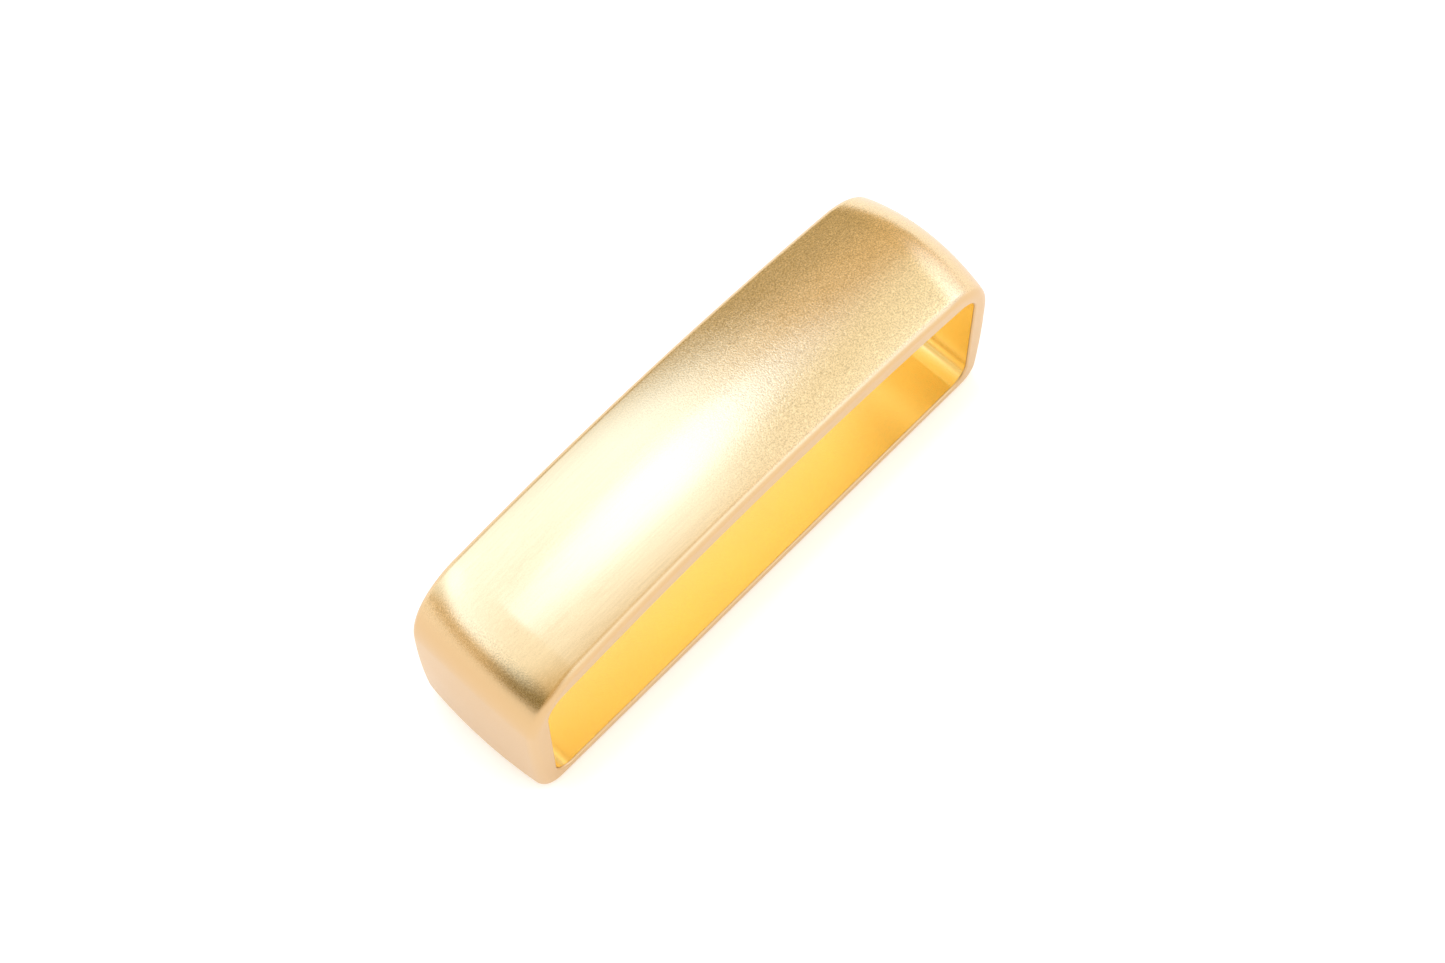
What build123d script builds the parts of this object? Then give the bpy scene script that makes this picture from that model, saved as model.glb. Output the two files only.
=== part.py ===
"""Buckle slider: a one-piece cast metal loop that slides along a 40 mm strap.

Frame: +X runs along the length of the slot, +Y along the strap, +Z up towards the crowned show face.
The origin is the middle of the flat underside. All sizes are in millimetres.
"""
from build123d import *
import os

# Slot, sized by the strap that it takes
SLOT_LENGTH = 40.0          # clear length along X, the nominal strap size
SLOT_SIDE_HEIGHT = 11.0     # height of the slot's straight end walls, before the corners are rounded
SLOT_CROWN = 1.3            # rise of the slot's ceiling from its ends to its middle
SLOT_FLOOR_FILLET = 1.5     # inner corner radius at the floor
SLOT_CEILING_FILLET = 1.7   # inner corner radius at the ceiling

# Walls and outer envelope
FLOOR_WALL = 1.2            # thickness of the flat underside
END_WALL = 1.55             # thickness of an end wall at its foot
TOP_WALL = 2.5              # thickness of the top over the ends of the slot
BODY_WIDTH = 11.0           # along Y
TOP_CROWN = 1.6             # rise of the show face along X, from its ends to its middle
TOP_CAMBER = 1.2            # fall of the show face along Y, from its middle to each rim
END_BOW = 0.4               # bulge of an end along Z
END_CAMBER = 0.4            # fall of an end along Y, from its middle to each rim

# Softened corners and edges
TOP_CORNER_RADIUS = 5.0     # where the show face turns down into an end
BOTTOM_CORNER_RADIUS = 1.8  # where an end turns under into the underside
RIM_RADIUS = 0.75           # outer edge of each rim
SLOT_EDGE_RADIUS = 0.15     # broken edge round each mouth of the slot

BODY_LENGTH = SLOT_LENGTH + 2 * END_WALL
SHOULDER_HEIGHT = FLOOR_WALL + SLOT_SIDE_HEIGHT + TOP_WALL
HALF_LENGTH = BODY_LENGTH / 2
HALF_WIDTH = BODY_WIDTH / 2
SPARE = 5.0                 # how far a cutting shape runs past what it cuts


def arc_radius(chord, rise):
    """Radius of the arc that rises by `rise` over `chord`."""
    return (chord * chord / 4 + rise * rise) / (2 * rise)


def crowned_slab():
    """Everything under the show face: a ring about an axis along Y, cambered across its width."""
    apex = SHOULDER_HEIGHT + TOP_CROWN
    axis_height = apex - arc_radius(BODY_LENGTH, TOP_CROWN)
    rim = apex - TOP_CAMBER
    section = Polyline((-HALF_WIDTH, rim), (-HALF_WIDTH, -SPARE), (HALF_WIDTH, -SPARE), (HALF_WIDTH, rim))
    section += ThreePointArc((-HALF_WIDTH, rim), (0, apex), (HALF_WIDTH, rim))
    ring_axis = Axis((0, 0, axis_height), (0, 1, 0))
    return revolve(Plane.YZ * make_face(section), ring_axis)


def bowed_slab():
    """Everything on the inner side of the +X end: a ring about an axis along Y, cambered across its width."""
    apex = HALF_LENGTH + END_BOW
    axis_x = apex - arc_radius(SHOULDER_HEIGHT, END_BOW)
    mid_height = SHOULDER_HEIGHT / 2
    rim = apex - END_CAMBER
    back = -HALF_LENGTH - SPARE
    section = Polyline((rim, -HALF_WIDTH), (back, -HALF_WIDTH), (back, HALF_WIDTH), (rim, HALF_WIDTH))
    section += ThreePointArc((rim, -HALF_WIDTH), (apex, 0), (rim, HALF_WIDTH))
    ring_axis = Axis((axis_x, 0, mid_height), (0, 1, 0))
    return revolve(Pos(0, 0, mid_height) * make_face(section), ring_axis)


def outer_body():
    """The solid outer form, with its corners and the outer edges of its rims rounded."""
    above_underside = Box(
        BODY_LENGTH + 2 * SPARE,
        BODY_WIDTH,
        SHOULDER_HEIGHT + 2 * SPARE,
        align=(Align.CENTER, Align.CENTER, Align.MIN),
    )
    end = bowed_slab()
    body = above_underside & crowned_slab() & end & mirror(end, Plane.YZ)
    along_y = body.edges().filter_by(lambda edge: abs(edge.center().Y) < HALF_WIDTH / 2)
    upper = along_y.filter_by(lambda edge: edge.center().Z > SHOULDER_HEIGHT / 2)
    body = fillet(upper, TOP_CORNER_RADIUS)
    along_y = body.edges().filter_by(lambda edge: abs(edge.center().Y) < HALF_WIDTH / 2)
    lower = along_y.filter_by(lambda edge: edge.center().Z < RIM_RADIUS)
    body = fillet(lower, BOTTOM_CORNER_RADIUS)
    rims = body.faces().filter_by(Axis.Y)
    return fillet(rims.edges(), RIM_RADIUS)


def slot_cut():
    """The strap slot's full form: flat floor, straight ends and a crowned ceiling, with rounded corners."""
    half = SLOT_LENGTH / 2
    floor = FLOOR_WALL
    shoulder = FLOOR_WALL + SLOT_SIDE_HEIGHT
    outline = Polyline((-half, shoulder), (-half, floor), (half, floor), (half, shoulder))
    outline += ThreePointArc((half, shoulder), (0, shoulder + SLOT_CROWN), (-half, shoulder))
    face = make_face(outline)
    corners = face.vertices().sort_by(Axis.Y)
    face = fillet(corners[2:], SLOT_CEILING_FILLET)
    face = fillet(face.vertices().sort_by(Axis.Y)[:2], SLOT_FLOOR_FILLET)
    return extrude(Plane.XZ * face, BODY_WIDTH / 2 + SPARE, both=True)


def strap_loop():
    """The whole slider: the outer body with the slot through it and the slot's mouths eased."""
    loop = outer_body() - slot_cut()
    rims = loop.faces().filter_by(Axis.Y)
    mouths = [face.inner_wires()[0].edges() for face in rims]
    return fillet([edge for mouth in mouths for edge in mouth], SLOT_EDGE_RADIUS)


os.makedirs("parts", exist_ok=True)
loop = strap_loop()
loop.label = "strap_loop"
export_step(loop, "parts/strap_loop.step")
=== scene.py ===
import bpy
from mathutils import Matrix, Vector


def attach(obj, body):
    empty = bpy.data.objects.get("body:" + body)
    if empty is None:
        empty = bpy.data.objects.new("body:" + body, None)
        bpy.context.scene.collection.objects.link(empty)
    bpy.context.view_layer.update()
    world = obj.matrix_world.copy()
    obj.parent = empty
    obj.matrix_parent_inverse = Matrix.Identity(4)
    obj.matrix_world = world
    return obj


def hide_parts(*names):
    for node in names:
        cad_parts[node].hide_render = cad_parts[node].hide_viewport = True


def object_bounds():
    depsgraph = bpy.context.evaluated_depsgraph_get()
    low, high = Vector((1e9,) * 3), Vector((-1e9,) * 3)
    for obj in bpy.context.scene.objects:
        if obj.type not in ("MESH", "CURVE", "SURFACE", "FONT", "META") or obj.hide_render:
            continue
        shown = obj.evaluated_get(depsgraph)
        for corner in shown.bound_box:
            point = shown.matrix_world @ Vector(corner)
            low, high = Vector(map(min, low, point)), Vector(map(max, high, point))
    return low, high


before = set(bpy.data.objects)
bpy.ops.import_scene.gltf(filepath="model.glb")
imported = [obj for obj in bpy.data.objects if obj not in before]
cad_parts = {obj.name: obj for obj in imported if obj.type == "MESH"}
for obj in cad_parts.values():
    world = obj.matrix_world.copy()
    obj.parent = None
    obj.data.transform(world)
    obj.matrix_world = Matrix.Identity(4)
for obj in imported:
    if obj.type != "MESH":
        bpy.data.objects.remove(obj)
CAD_BOX = [list(corner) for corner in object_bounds()]

# Buckle slider: a one-piece metal loop for a 40 mm strap, satin outside and polished in the slot.
# The loop's form is a Geometry Nodes tree that follows the same rule as the CAD solid, at the same sizes.

import math

import bpy
from bpy.props import FloatProperty, FloatVectorProperty, IntProperty, PointerProperty
from mathutils import Matrix, Vector

bl_info = {
    "name": "Buckle slider",
    "version": (1, 0, 0),
    "blender": (4, 5, 0),
    "location": "View3D > Sidebar > Buckle slider",
    "description": "Builds a metal strap loop with a satin show face and a polished slot, and its studio",
    "category": "Add Mesh",
}

MM = 0.001
SENSOR_WIDTH = 36.0             # the camera's, in millimetres
FLOOR_HALF = 1500 * MM          # half the side of the square floor
WELD = MM / 1000                # points closer than this are one point
NODE = "strap_loop"
BODY = "root"

# The loop's overall width and height are the frame's own.
LOWEST, HIGHEST = CAD_BOX
FRAME_WIDTH = HIGHEST[1] - LOWEST[1]
FRAME_HEIGHT = HIGHEST[2] - LOWEST[2]

# Where each stretch of the half outline ends, as a share of the way from the underside's middle
# to the show face's middle
UNDERSIDE_END = 0.16
LOWER_CORNER_END = 0.26
END_WALL_END = 0.40
UPPER_CORNER_END = 0.60

# Where each stretch of the half wall section ends, as a share of the way from the outside's middle
# to the slot's middle
OUTSIDE_END = 0.36
RIM_ROUND_END = 0.58
RIM_FACE_END = 0.66
MOUTH_ROUND_END = 0.80

# How strongly the rows of faces crowd towards the rim and towards the slot's mouth; 1 is even
RIM_CROWDING = 1.6
MOUTH_CROWDING = 1.8

# The show face is where the surface looks up at least this much: none of it, and all of it; below it the
# ends' darker gold is partly painted shade
SHOW_FACE = (0.40, 0.92)
SHOW_FACE_MARGIN = 0.08         # how far it reaches into the rim's rounding, as a share of the wall section

# Stretches along the slot, in millimetres, over which the show face goes from blasted to brushed
BRUSHING_STARTS = (6.0, -8.0)
BRUSHING_ENDS = (-20.0, -19.0)

# Grain, in cycles per millimetre along X, Y and Z
SPECKLE = 9.5
BRUSH_LINES = (0.09, 6.5, 6.5)
DRAG_LINES = (5.0, 0.2, 5.0)

QUARTER = math.pi / 2


# ---------------------------------------------------------------- nodes as arithmetic


class Graph:
    """One node tree that is being built."""

    def __init__(self, tree):
        self.tree = tree

    def node(self, kind, settings=None, values=None, output=0):
        """Adds a node, its settings first and then its sockets' values or links, and returns an output."""
        made = self.tree.nodes.new(kind)
        for name, value in (settings or {}).items():
            setattr(made, name, value)
        for key, value in (values or {}).items():
            if isinstance(value, Field):
                self.tree.links.new(value.socket, made.inputs[key])
            else:
                made.inputs[key].default_value = value
        return Field(self, made.outputs[output])

    def math(self, operation, *operands):
        return self.node("ShaderNodeMath", {"operation": operation}, dict(enumerate(operands)))

    def mix_colour(self, factor, first, second):
        """Blends two colours; the sockets are the Mix node's own colour pair."""
        settings = {"data_type": "RGBA"}
        return self.node("ShaderNodeMix", settings, {0: factor, 6: first, 7: second}, output=2)


class Field:
    """A node's output that Python arithmetic can use: each operation adds its Math node."""

    def __init__(self, graph, socket):
        self.graph = graph
        self.socket = socket

    def also(self, output):
        """Another output of the same node."""
        return Field(self.graph, self.socket.node.outputs[output])

    def __add__(self, other):
        return self.graph.math("ADD", self, other)

    def __radd__(self, other):
        return self.graph.math("ADD", other, self)

    def __sub__(self, other):
        return self.graph.math("SUBTRACT", self, other)

    def __rsub__(self, other):
        return self.graph.math("SUBTRACT", other, self)

    def __mul__(self, other):
        return self.graph.math("MULTIPLY", self, other)

    def __rmul__(self, other):
        return self.graph.math("MULTIPLY", other, self)

    def __truediv__(self, other):
        return self.graph.math("DIVIDE", self, other)

    def __rtruediv__(self, other):
        return self.graph.math("DIVIDE", other, self)

    def __pow__(self, other):
        return self.graph.math("POWER", self, other)

    def __rpow__(self, other):
        return self.graph.math("POWER", other, self)

    def __abs__(self):
        return self.graph.math("ABSOLUTE", self)

    def __gt__(self, other):
        return self.graph.math("GREATER_THAN", self, other)

    def __lt__(self, other):
        return self.graph.math("LESS_THAN", self, other)

    def share(self, start, end):
        """How far this value is on the way from start to end, held between 0 and 1."""
        values = {"Value": self, "From Min": start, "From Max": end}
        return self.graph.node("ShaderNodeMapRange", {}, values)

    def ease(self, start, end):
        """As share, with a soft beginning and end."""
        values = {"Value": self, "From Min": start, "From Max": end}
        return self.graph.node("ShaderNodeMapRange", {"interpolation_type": "SMOOTHSTEP"}, values)

    def between(self, low, high):
        """Goes from low to high as this value goes from 0 to 1."""
        return self.graph.node("ShaderNodeMix", {}, {0: self, 2: low, 3: high})


def sine(angle):
    return angle.graph.math("SINE", angle)


def cosine(angle):
    return angle.graph.math("COSINE", angle)


def root(value):
    return value.graph.math("SQRT", value)


def direction(rise, run):
    """The angle of a step, by its rise and run."""
    return rise.graph.math("ARCTAN2", rise, run)


# ---------------------------------------------------------------- sizes and finishes


def length(name, description, default):
    return FloatProperty(
        name=name, description=description, default=default, min=0.0, unit="LENGTH", precision=5
    )


def turned(name, description, degrees):
    return FloatProperty(
        name=name, description=description, default=math.radians(degrees), subtype="ANGLE"
    )


def count(name, description, default, lowest):
    return IntProperty(name=name, description=description, default=default, min=lowest)


def colour(name, description, default):
    return FloatVectorProperty(
        name=name, description=description, default=default, min=0.0, max=4.0, size=3, subtype="COLOR"
    )


def factor(name, description, default):
    return FloatProperty(
        name=name, description=description, default=default, min=0.0, max=1.0, subtype="FACTOR"
    )


def own_properties(group):
    """A property group's own properties, without the two that every group has."""
    return [prop for prop in group.bl_rna.properties if prop.identifier not in ("rna_type", "name")]


class LoopSizes(bpy.types.PropertyGroup):
    """The loop's driving sizes, the same as the CAD solid's."""

    slot_length: length("Slot length", "Clear length of the slot, the nominal strap size", 40 * MM)
    slot_side_height: length("Slot side height", "Height of the slot's end walls before rounding", 11 * MM)
    slot_crown: length("Slot crown", "Rise of the slot's ceiling from its ends to its middle", 1.3 * MM)
    floor_fillet: length("Floor fillet", "Inner corner radius at the slot's floor", 1.5 * MM)
    ceiling_fillet: length("Ceiling fillet", "Inner corner radius at the slot's ceiling", 1.7 * MM)
    floor_wall: length("Floor wall", "Thickness of the flat underside", 1.2 * MM)
    end_wall: length("End wall", "Thickness of an end wall at its foot", 1.55 * MM)
    body_width: length("Body width", "Width along the strap", FRAME_WIDTH)
    body_height: length("Body height", "Height at the middle of the show face", FRAME_HEIGHT)
    top_crown: length("Top crown", "Rise of the show face along the slot", 1.6 * MM)
    top_camber: length("Top camber", "Fall of the show face from its middle to a rim", 1.2 * MM)
    end_bow: length("End bow", "Bulge of an end along its height", 0.4 * MM)
    end_camber: length("End camber", "Fall of an end from its middle to a rim", 0.4 * MM)
    top_corner: length("Top corner radius", "Where the show face turns down into an end", 5.0 * MM)
    bottom_corner: length("Bottom corner radius", "Where an end turns under", 1.8 * MM)
    rim_radius: length("Rim radius", "Rounding of a rim's outer edge", 0.75 * MM)
    mouth_radius: length("Mouth radius", "Broken edge round the slot's mouth", 0.15 * MM)
    around: count("Faces around", "Faces around the loop", 560, 64)
    across: count("Faces across", "Faces around the wall's section", 120, 24)


class FinishColours(bpy.types.PropertyGroup):
    """Colours and gloss of the plating."""

    satin: colour("Satin gold", "Brushed show face", (0.76, 0.57, 0.32))
    # The ends' and rims' own smooth gold, darkened further as painted shade for the dimmer floor they reflect
    smooth_gold_and_painted_shade: colour("Smooth gold and painted shade", "Smooth ends and rims", (0.665, 0.435, 0.215))
    bright: colour("Bright gold", "Polished slot", (1.0, 0.80, 0.395))
    satin_roughness: factor("Satin roughness", "Gloss of the brushed show face", 0.21)
    smooth_roughness: factor("Smooth roughness", "Gloss of the ends and rims", 0.32)
    bright_roughness: factor("Bright roughness", "Gloss of the polished slot", 0.20)


class StudioSettings(bpy.types.PropertyGroup):
    """The camera and the light."""

    azimuth: turned("Azimuth", "Camera's bearing", -45.78)
    elevation: turned("Elevation", "Camera's height above the horizon", 64.12)
    roll: turned("Roll", "Camera's tilt", -1.05)
    distance: length("Distance", "From the camera to its aim", 190.4 * MM)
    lens: FloatProperty(name="Lens", description="Focal length, in millimetres", default=71.24)
    aim: FloatVectorProperty(
        name="Aim",
        description="Where the camera looks",
        default=(1.41 * MM, 0.03 * MM, 4.69 * MM),
        unit="LENGTH",
    )
    ambient: colour("Ambient", "Light from the tent's walls", (0.87, 0.70, 0.43))
    floor_glow: colour("Floor glow", "Light that comes up through the floor", (0.35, 0.32, 0.25))


class TentLight(bpy.types.PropertyGroup):
    """The light of each window in the tent, and what each dark flag takes away."""

    roof: colour("Roof", "Broad window overhead", (0.42, 0.63, 0.92))
    roof_back: colour("Roof back", "Its gain towards the back", (0.27, 0.50, 0.99))
    strip: colour("Strip", "Its gain along the right edge", (0.18, 0.33, 0.65))
    right: colour("Right", "Low window at the right", (0.56, 0.74, 1.23))
    right_high: colour("Right high", "Raised window at the right", (0.32, 0.51, 0.68))
    front: colour("Front", "Raised window in front", (0.26, 0.34, 0.52))
    front_low: colour("Front low", "Low window in front", (0.57, 0.92, 1.45))
    right_front: colour("Right front", "Low window between right and front", (0.36, 0.65, 1.31))
    back: colour("Back", "Low window behind", (0.34, 0.63, 1.01))
    core: colour("Core", "Round lamp overhead", (0.36, 0.65, 1.31))
    flag_left: colour("Left flag", "Light taken away at the left", (0.59, 0.48, 0.37))
    flag_back: colour("Back flag", "Light taken away at the back right", (0.23, 0.17, 0.12))


# ---------------------------------------------------------------- the loop's form


def outside_outline(size, way, fall):
    """Half of the loop's outer outline, at a place on the way from the underside's middle to the top's.

    fall is 0 in the middle of the width and 1 at a rim's plane, and draws the cambered faces in. Each stretch
    is an arc, or a line when the arc's centre moves: the result is (x, z, angle of the outward normal)."""
    half_length = size["slot_length"] * 0.5 + size["end_wall"]
    shoulder = size["body_height"] - size["top_crown"]
    middle = shoulder * 0.5
    full_top = (half_length * half_length + size["top_crown"] ** 2) / (size["top_crown"] * 2)
    top_centre = size["body_height"] - full_top
    top_radius = full_top - size["top_camber"] * fall
    full_end = (middle * middle + size["end_bow"] ** 2) / (size["end_bow"] * 2)
    end_centre = half_length + size["end_bow"] - full_end
    end_radius = full_end - size["end_camber"] * fall

    lower = size["bottom_corner"]
    lower_x = end_centre + root((end_radius - lower) ** 2 - (middle - lower) ** 2)
    upper = size["top_corner"]
    from_top = top_radius - upper
    from_end = end_radius - upper
    rise = top_centre - middle
    apart = root(rise * rise + end_centre * end_centre)
    along = (from_end * from_end - from_top * from_top + apart * apart) / (apart * 2)
    aside = root(from_end * from_end - along * along)
    step_x = (0 - end_centre) / apart
    step_z = rise / apart
    upper_x = end_centre + along * step_x - aside * step_z
    upper_z = middle + along * step_z + aside * step_x

    lower_turn = direction(lower - middle, lower_x - end_centre)
    upper_turn = direction(upper_z - middle, upper_x - end_centre)
    top_turn = direction(upper_z - top_centre, upper_x)
    angle = (
        way.share(UNDERSIDE_END, LOWER_CORNER_END) * (lower_turn + QUARTER)
        - QUARTER
        + way.share(LOWER_CORNER_END, END_WALL_END) * (upper_turn - lower_turn)
        + way.share(END_WALL_END, UPPER_CORNER_END) * (top_turn - upper_turn)
        + way.share(UPPER_CORNER_END, 1.0) * (QUARTER - top_turn)
    )
    past_lower = way > LOWER_CORNER_END
    past_end = way > END_WALL_END
    past_upper = way > UPPER_CORNER_END
    run = lower_x * way.share(0.0, UNDERSIDE_END)
    centre_x = past_upper.between(past_end.between(past_lower.between(run, end_centre), upper_x), 0.0)
    centre_z = past_upper.between(past_end.between(past_lower.between(lower, middle), upper_z), top_centre)
    radius = past_upper.between(past_end.between(past_lower.between(lower, end_radius), upper), top_radius)
    return centre_x + radius * cosine(angle), centre_z + radius * sine(angle), angle


def slot_outline(size, way):
    """Half of the slot's outline, in the same terms as the outer one."""
    half = size["slot_length"] * 0.5
    shoulder = size["floor_wall"] + size["slot_side_height"]
    radius_full = (half * half + size["slot_crown"] ** 2) / (size["slot_crown"] * 2)
    ceiling_centre = shoulder + size["slot_crown"] - radius_full
    lower = size["floor_fillet"]
    upper = size["ceiling_fillet"]
    upper_x = half - upper
    upper_z = ceiling_centre + root((radius_full - upper) ** 2 - upper_x * upper_x)
    turn = direction(upper_z - ceiling_centre, upper_x)
    angle = (
        way.share(UNDERSIDE_END, LOWER_CORNER_END) * QUARTER
        - QUARTER
        + way.share(END_WALL_END, UPPER_CORNER_END) * turn
        + way.share(UPPER_CORNER_END, 1.0) * (QUARTER - turn)
    )
    past_end = way > END_WALL_END
    past_upper = way > UPPER_CORNER_END
    run = (half - lower) * way.share(0.0, UNDERSIDE_END)
    foot = size["floor_wall"] + lower
    climb = foot + (upper_z - foot) * way.share(LOWER_CORNER_END, END_WALL_END)
    centre_x = past_upper.between(past_end.between(run, upper_x), 0.0)
    centre_z = past_upper.between(past_end.between(climb, upper_z), ceiling_centre)
    radius = past_upper.between(past_end.between(lower, upper), radius_full)
    return centre_x + radius * cosine(angle), centre_z + radius * sine(angle), angle


def camber_tilt(size, way):
    """How far the outside leans towards the rim where the rim's rounding begins, and that place's distance
    from the middle of the width."""
    angle = (
        way.share(UNDERSIDE_END, LOWER_CORNER_END) * QUARTER
        + way.share(END_WALL_END, UPPER_CORNER_END) * QUARTER
        - QUARTER
    )
    end_part = size["end_camber"] * cosine(angle)
    top_part = size["top_camber"] * angle.graph.math("MAXIMUM", sine(angle), 0.0)
    steepness = (end_part + top_part) * 8 / (size["body_width"] ** 2)
    centre = size["body_width"] * 0.5 - size["rim_radius"]
    tilt = angle.graph.math("ARCTANGENT", steepness * centre)
    tilt = angle.graph.math("ARCTANGENT", steepness * (centre + size["rim_radius"] * sine(tilt)))
    return tilt, centre + size["rim_radius"] * sine(tilt)


def loop_tree(sizes):
    """The loop's Geometry Nodes tree: a sheet of quads, bent by the outlines' rule into a closed ring."""
    tree = bpy.data.node_groups.new("strap_loop_form", "GeometryNodeTree")
    tree.is_modifier = True
    tree.interface.new_socket("Geometry", in_out="OUTPUT", socket_type="NodeSocketGeometry")
    inlet = tree.nodes.new("NodeGroupInput")
    graph = Graph(tree)
    size = {}
    for prop in own_properties(LoopSizes):
        whole = prop.type == "INT"
        socket_type = "NodeSocketInt" if whole else "NodeSocketFloat"
        item = tree.interface.new_socket(prop.name, in_out="INPUT", socket_type=socket_type)
        item.default_value = getattr(sizes, prop.identifier)
        if not whole:
            item.subtype = "DISTANCE"
        size[prop.identifier] = Field(graph, inlet.outputs[prop.name])
    for slot_name in ("Outside", "Slot"):
        tree.interface.new_socket(slot_name, in_out="INPUT", socket_type="NodeSocketMaterial")

    points = {"Vertices X": size["around"] + 1, "Vertices Y": size["across"] + 1}
    sheet = graph.node("GeometryNodeMeshGrid", {}, {"Size X": 1.0, "Size Y": 1.0, **points})
    place = graph.node("ShaderNodeSeparateXYZ", {}, {0: graph.node("GeometryNodeInputPosition")})
    around = place * 2
    across = place.also(1) * 2
    way = 1 - abs(around)
    depth = abs(across)

    tilt, round_start = camber_tilt(size, way)
    out_y = round_start * (1 - depth.share(OUTSIDE_END, 0.0) ** RIM_CROWDING)
    fall = (out_y * 2 / size["body_width"]) ** 2
    out_x, out_z, out_angle = outside_outline(size, way, fall)
    swing = depth.share(OUTSIDE_END, RIM_ROUND_END).between(tilt, QUARTER)
    sunk = size["rim_radius"] * (cosine(tilt) - cosine(swing))
    out_x = out_x - sunk * cosine(out_angle)
    out_z = out_z - sunk * sine(out_angle)
    out_y = out_y + size["rim_radius"] * (sine(swing) - sine(tilt))

    in_x, in_z, in_angle = slot_outline(size, way)
    turn = depth.share(RIM_FACE_END, MOUTH_ROUND_END).between(QUARTER, 0.0)
    raised = size["mouth_radius"] * (1 - cosine(turn))
    in_x = in_x + raised * cosine(in_angle)
    in_z = in_z + raised * sine(in_angle)
    straight = size["body_width"] * 0.5 - size["mouth_radius"]
    in_y = straight * (1 - depth.share(MOUTH_ROUND_END, 1.0) ** MOUTH_CROWDING)
    in_y = in_y + size["mouth_radius"] * sine(turn)

    inward = depth.share(RIM_ROUND_END, RIM_FACE_END)
    side = graph.math("SIGN", around)
    face = graph.math("SIGN", across)
    x = inward.between(out_x, in_x) * side
    y = inward.between(out_y, in_y) * face
    z = inward.between(out_z, in_z)
    place = graph.node("ShaderNodeCombineXYZ", {}, {0: x, 1: y, 2: z})
    store = {"data_type": "FLOAT", "domain": "POINT"}
    marks = {"Geometry": sheet, "Name": "depth", "Value": depth}
    sheet = graph.node("GeometryNodeStoreNamedAttribute", store, marks)
    sheet = graph.node("GeometryNodeSetPosition", {}, {"Geometry": sheet, "Position": place})
    ring = graph.node("GeometryNodeMergeByDistance", {}, {"Geometry": sheet, "Distance": WELD})
    ring = graph.node("GeometryNodeSetShadeSmooth", {}, {0: ring})
    ring = graph.node("GeometryNodeRealizeInstances", {}, {0: ring})
    outside = Field(graph, inlet.outputs["Outside"])
    slot_finish = Field(graph, inlet.outputs["Slot"])
    stored = graph.node("GeometryNodeInputNamedAttribute", {"data_type": "FLOAT"}, {"Name": "depth"})
    ring = graph.node("GeometryNodeSetMaterial", {}, {"Geometry": ring, "Material": outside})
    inner = graph.node("FunctionNodeCompare", {"data_type": "FLOAT"}, {0: stored, 1: MOUTH_ROUND_END})
    ring = graph.node(
        "GeometryNodeSetMaterial", {}, {"Geometry": ring, "Selection": inner, "Material": slot_finish}
    )
    outlet = tree.nodes.new("NodeGroupOutput")
    tree.links.new(ring.socket, outlet.inputs[0])
    return tree


def plain_mesh(name, tree, values):
    """Runs a tree on an empty object and keeps the result as an ordinary mesh object."""
    maker = bpy.data.objects.new(name + "_maker", bpy.data.meshes.new(name + "_maker"))
    bpy.context.scene.collection.objects.link(maker)
    modifier = maker.modifiers.new("form", "NODES")
    modifier.node_group = tree
    for item in tree.interface.items_tree:
        if item.in_out == "INPUT":
            modifier[item.identifier] = values[item.name]
    depsgraph = bpy.context.evaluated_depsgraph_get()
    mesh = bpy.data.meshes.new_from_object(maker.evaluated_get(depsgraph), depsgraph=depsgraph)
    mesh.name = name
    maker.modifiers.remove(modifier)
    bpy.data.objects.remove(maker)
    if not mesh.polygons:
        raise RuntimeError(name + " came out empty")
    piece = bpy.data.objects.new(name, mesh)
    bpy.context.scene.collection.objects.link(piece)
    return piece


# ---------------------------------------------------------------- materials


def new_material(name):
    """An empty node material, its graph, its shader node and its object coordinates in millimetres."""
    material = bpy.data.materials.new(name)
    material.use_nodes = True
    tree = material.node_tree
    tree.nodes.clear()
    graph = Graph(tree)
    shader = graph.node("ShaderNodeBsdfPrincipled")
    tree.links.new(shader.socket, tree.nodes.new("ShaderNodeOutputMaterial").inputs["Surface"])
    place = graph.node("ShaderNodeTexCoord", {}, {}, output="Object")
    place = graph.node("ShaderNodeVectorMath", {"operation": "SCALE"}, {0: place, "Scale": 1 / MM})
    return material, graph, shader.socket.node, place


def feed(graph, shader, name, value):
    """Links a field to one of the shader's sockets."""
    graph.tree.links.new(value.socket, shader.inputs[name])


def stretched(graph, place, scale):
    """Coordinates multiplied along each axis, for a grain that runs one way."""
    return graph.node("ShaderNodeVectorMath", {"operation": "MULTIPLY"}, {0: place, 1: scale})


def noise(graph, place, scale, detail=3.0, roughness=0.5):
    return graph.node(
        "ShaderNodeTexNoise",
        {"normalize": True},
        {"Vector": place, "Scale": scale, "Detail": detail, "Roughness": roughness},
    )


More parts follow.
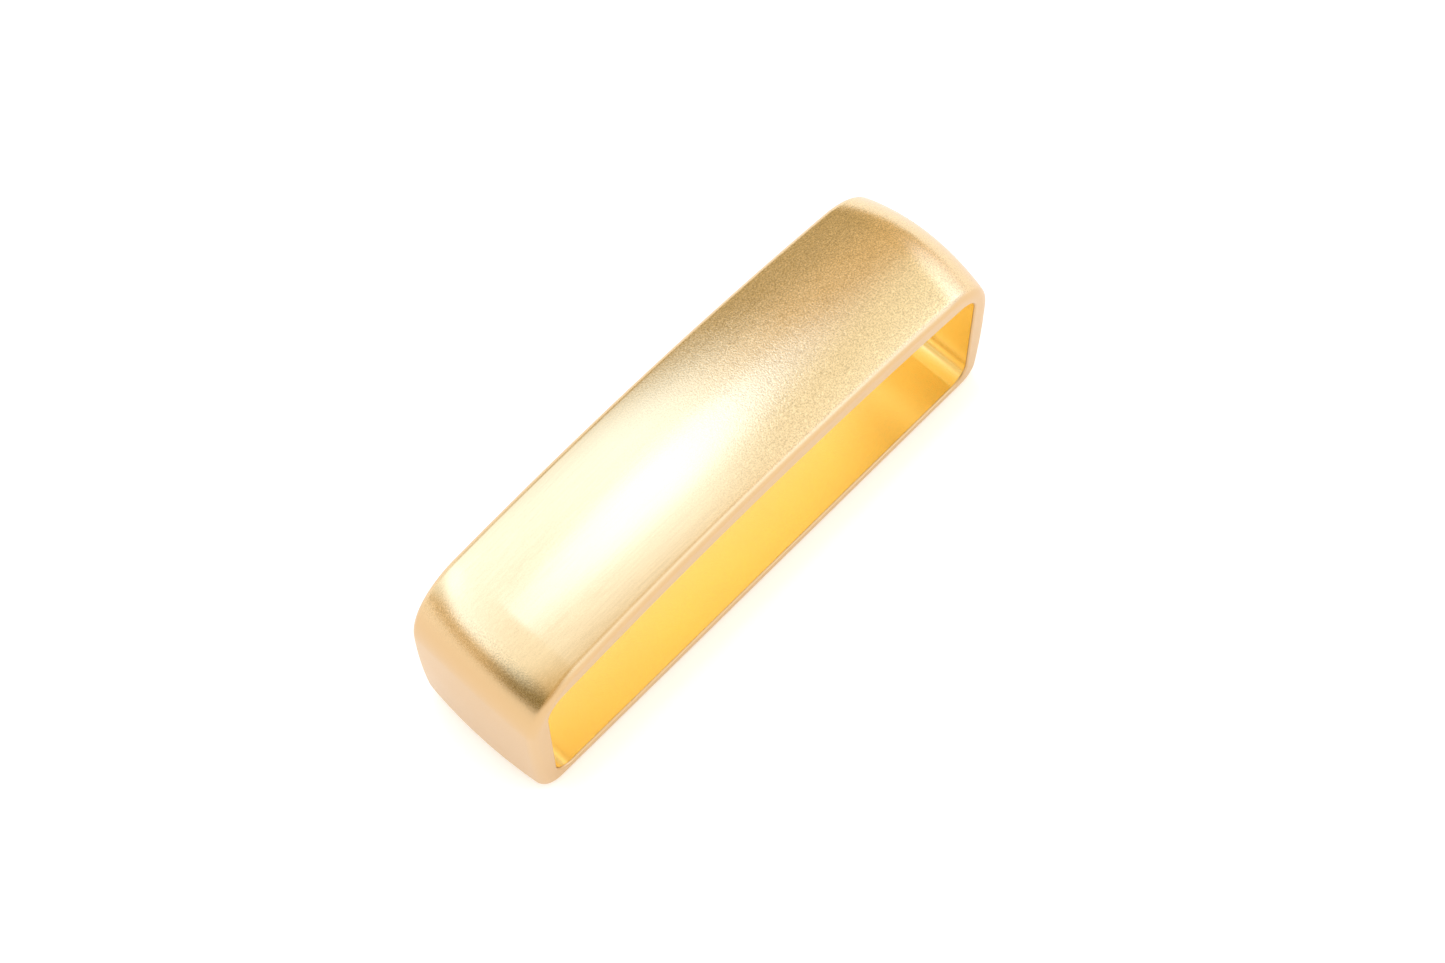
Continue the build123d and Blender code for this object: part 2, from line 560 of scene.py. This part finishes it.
def satin_material(finish):
    """The outside: a show face that is blasted, then brushed along the slot, and smoother ends and rims,
    whose darker gold is partly painted shade.
    """
    material, graph, shader, place = new_material("satin_gold")
    shader.inputs["Metallic"].default_value = 1.0
    normal = graph.node("ShaderNodeTexCoord", {}, {}, output="Normal")
    upward = graph.node("ShaderNodeSeparateXYZ", {}, {0: normal}, output=2)
    depth = graph.node("ShaderNodeAttribute", {"attribute_name": "depth"}, {}, output="Fac")
    shown = upward.ease(*SHOW_FACE) * depth.ease(RIM_ROUND_END - SHOW_FACE_MARGIN, OUTSIDE_END)
    speckle = noise(graph, place, SPECKLE, 1.0, 0.5) - 0.5
    brushed = noise(graph, stretched(graph, place, BRUSH_LINES), 1.0, 3.0, 0.6) - 0.5
    cloud = noise(graph, place, 0.3, 2.0, 0.5) - 0.5
    along = graph.node("ShaderNodeSeparateXYZ", {}, {0: place})
    combed = along.ease(*BRUSHING_STARTS) * along.ease(*BRUSHING_ENDS)
    blasted = combed.between(1.0, 0.16)
    lines = combed.between(0.06, 0.24)
    grain = 1 + shown * (speckle * blasted + brushed * lines) + cloud * 0.04
    # Surfaces that look up less take the ends' darker gold: partly their own colour, partly painted shade
    base = graph.mix_colour(shown, (*finish.smooth_gold_and_painted_shade, 1.0), (*finish.satin, 1.0))
    tinted = graph.node("ShaderNodeVectorMath", {"operation": "SCALE"}, {0: base, "Scale": grain})
    feed(graph, shader, "Base Color", tinted)
    rough = shown.between(finish.smooth_roughness, finish.satin_roughness)
    rough = rough + speckle * 0.12 * shown + brushed * 0.08 + cloud * 0.06
    feed(graph, shader, "Roughness", rough)
    height = speckle * shown * blasted + brushed * lines
    bump = graph.node("ShaderNodeBump", {}, {"Strength": 1.0, "Distance": 0.006 * MM, "Height": height})
    feed(graph, shader, "Normal", bump)
    return material


def bright_material(finish):
    """The slot: polished through along the strap, with faint drag lines."""
    material, graph, shader, place = new_material("bright_gold")
    shader.inputs["Metallic"].default_value = 1.0
    drag = noise(graph, stretched(graph, place, DRAG_LINES), 1.0, 3.0, 0.6)
    cloud = noise(graph, place, 0.4, 2.0, 0.5)
    dulled = [channel * 0.985 for channel in finish.bright]
    base = graph.mix_colour(cloud.ease(0.3, 0.7), (*finish.bright, 1.0), (*dulled, 1.0))
    feed(graph, shader, "Base Color", base)
    rough = finish.bright_roughness + (drag - 0.5) * 0.06 + cloud * 0.04
    feed(graph, shader, "Roughness", rough)
    bump = graph.node("ShaderNodeBump", {}, {"Strength": 0.05, "Distance": 0.01 * MM, "Height": drag})
    feed(graph, shader, "Normal", bump)
    return material


def floor_material(studio):
    """A plain pale table top, lit a little from below so that shadows on it stay faint."""
    material, graph, shader, place = new_material("pale_floor")
    shader.inputs["Base Color"].default_value = (0.82, 0.82, 0.82, 1.0)
    shader.inputs["Emission Color"].default_value = (*studio.floor_glow, 1.0)
    shader.inputs["Emission Strength"].default_value = 1.0
    shader.inputs["Specular IOR Level"].default_value = 0.0
    feed(graph, shader, "Roughness", noise(graph, place, 0.05).between(0.85, 0.95))
    return material


# ---------------------------------------------------------------- stage


def aim_camera(studio):
    """The camera, placed by bearing, height and distance from its aim."""
    lens = bpy.data.cameras.new("camera")
    lens.lens = studio.lens
    lens.sensor_width = SENSOR_WIDTH
    lens.clip_start = 10 * MM
    camera = bpy.data.objects.new("camera", lens)
    bpy.context.scene.collection.objects.link(camera)
    turn = Matrix.Rotation(studio.azimuth, 4, "Z") @ Matrix.Rotation(QUARTER - studio.elevation, 4, "X")
    place = Matrix.Translation(Vector(studio.aim)) @ turn
    place = place @ Matrix.Translation((0, 0, studio.distance))
    camera.matrix_world = place @ Matrix.Rotation(studio.roll, 4, "Z")
    bpy.context.scene.camera = camera


def pale_floor(studio):
    """A flat square floor under the loop."""
    half = FLOOR_HALF
    corners = [(-half, -half, 0), (half, -half, 0), (half, half, 0), (-half, half, 0)]
    mesh = bpy.data.meshes.new("floor")
    mesh.from_pydata(corners, [], [(0, 1, 2, 3)])
    mesh.materials.append(floor_material(studio))
    floor = bpy.data.objects.new("floor", mesh)
    bpy.context.scene.collection.objects.link(floor)


def tent_windows(graph):
    """The light tent's windows, each as a brightness from 0 to 1 by direction.

    Overhead windows are straight-sided on a level ceiling at height 1; side windows are round spots."""
    sight = graph.node("ShaderNodeTexCoord", {}, {}, output="Generated")
    split = graph.node("ShaderNodeSeparateXYZ", {}, {0: sight})
    height = graph.math("MAXIMUM", split.also(2), 0.05)
    across = split / height
    along = split.also(1) / height
    above = split.also(2) > 0.0
    slant = across - along * 0.15

    def spot(towards, half_angle):
        vectors = {0: sight, 1: Vector(towards).normalized()}
        near = graph.node("ShaderNodeVectorMath", {"operation": "DOT_PRODUCT"}, vectors, output=1)
        return near.ease(math.cos(half_angle), 1.0)

    rise = along.ease(-0.4, 1.4)
    right_edge = slant.ease(0.44, 0.34)
    front_edge = along.ease(-0.66, -0.20)
    roof = right_edge * across.ease(-3.2, -1.7) * front_edge * along.ease(2.8, 1.9)
    strip = right_edge * slant.ease(-0.05, 0.25) * front_edge * along.ease(2.0, 0.6)
    return {
        "roof": roof * above,
        "roof_back": roof * rise * above,
        "strip": strip * above,
        "right": spot((0.93, -0.15, 0.35), 0.50),
        "right_high": spot((0.65, -0.25, 0.70), 0.55),
        "front": spot((0.40, -0.66, 0.64), 0.55),
        "front_low": spot((0.15, -0.97, 0.2), 0.60),
        "right_front": spot((0.7, -0.65, 0.25), 0.60),
        "back": spot((-0.2, 0.95, 0.2), 0.50),
        "core": spot((0.22, 0.18, 0.96), 0.36),
        "flag_left": spot((-0.90, -0.25, 0.16), 0.58),
        "flag_back": spot((0.5, 0.8, 0.3), 0.55),
    }


def room_light(studio, tent):
    """The light tent round the table."""
    world = bpy.data.worlds.new("room")
    world.use_nodes = True
    tree = world.node_tree
    tree.nodes.clear()
    graph = Graph(tree)
    total = tuple(studio.ambient)
    for name, window in tent_windows(graph).items():
        if name.startswith("flag"):
            window = window * -1
        terms = {0: window, 1: tuple(getattr(tent, name)), 2: total}
        total = graph.node("ShaderNodeVectorMath", {"operation": "MULTIPLY_ADD"}, terms)
    background = graph.node("ShaderNodeBackground", {}, {"Color": total})
    tree.links.new(background.socket, tree.nodes.new("ShaderNodeOutputWorld").inputs["Surface"])
    bpy.context.scene.world = world


# ---------------------------------------------------------------- operators and panel


class SLIDER_OT_strap_loop(bpy.types.Operator):
    """Builds the strap loop as a mesh and gives it its two finishes"""

    bl_idname = "slider.strap_loop"
    bl_label = "Strap loop"

    def execute(self, context):
        sizes = context.scene.slider_sizes
        finish = context.scene.slider_finish
        tree = loop_tree(sizes)
        values = {prop.name: getattr(sizes, prop.identifier) for prop in own_properties(LoopSizes)}
        values["Outside"] = satin_material(finish)
        values["Slot"] = bright_material(finish)
        loop = plain_mesh("slider_loop", tree, values)
        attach(loop, BODY)
        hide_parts(NODE)
        return {"FINISHED"}


class SLIDER_OT_stage(bpy.types.Operator):
    """Sets up the floor, the light and the camera"""

    bl_idname = "slider.stage"
    bl_label = "Stage"

    def execute(self, context):
        studio = context.scene.slider_studio
        pale_floor(studio)
        room_light(studio, context.scene.slider_tent)
        aim_camera(studio)
        view = context.scene.view_settings
        view.view_transform = "Standard"
        view.look = "None"
        return {"FINISHED"}


class SLIDER_PT_panel(bpy.types.Panel):
    """Lists what the add-on builds"""

    bl_idname = "SLIDER_PT_panel"
    bl_label = "Buckle slider"
    bl_space_type = "VIEW_3D"
    bl_region_type = "UI"
    bl_category = "Buckle slider"

    def draw(self, context):
        column = self.layout.column()
        for operator in OPERATORS:
            column.operator(operator.bl_idname)
        for name in GROUPS:
            group = getattr(context.scene, name)
            for prop in own_properties(group):
                column.prop(group, prop.identifier)


OPERATORS = (SLIDER_OT_strap_loop, SLIDER_OT_stage)
GROUPS = {
    "slider_sizes": LoopSizes,
    "slider_finish": FinishColours,
    "slider_studio": StudioSettings,
    "slider_tent": TentLight,
}


def register():
    for cls in (*GROUPS.values(), *OPERATORS, SLIDER_PT_panel):
        bpy.utils.register_class(cls)
    for name, group in GROUPS.items():
        setattr(bpy.types.Scene, name, PointerProperty(type=group))


def unregister():
    for name in GROUPS:
        delattr(bpy.types.Scene, name)
    for cls in reversed((*GROUPS.values(), *OPERATORS, SLIDER_PT_panel)):
        bpy.utils.unregister_class(cls)


def main():
    register()
    bpy.ops.slider.strap_loop()
    bpy.ops.slider.stage()


if __name__ == "__main__":
    main()
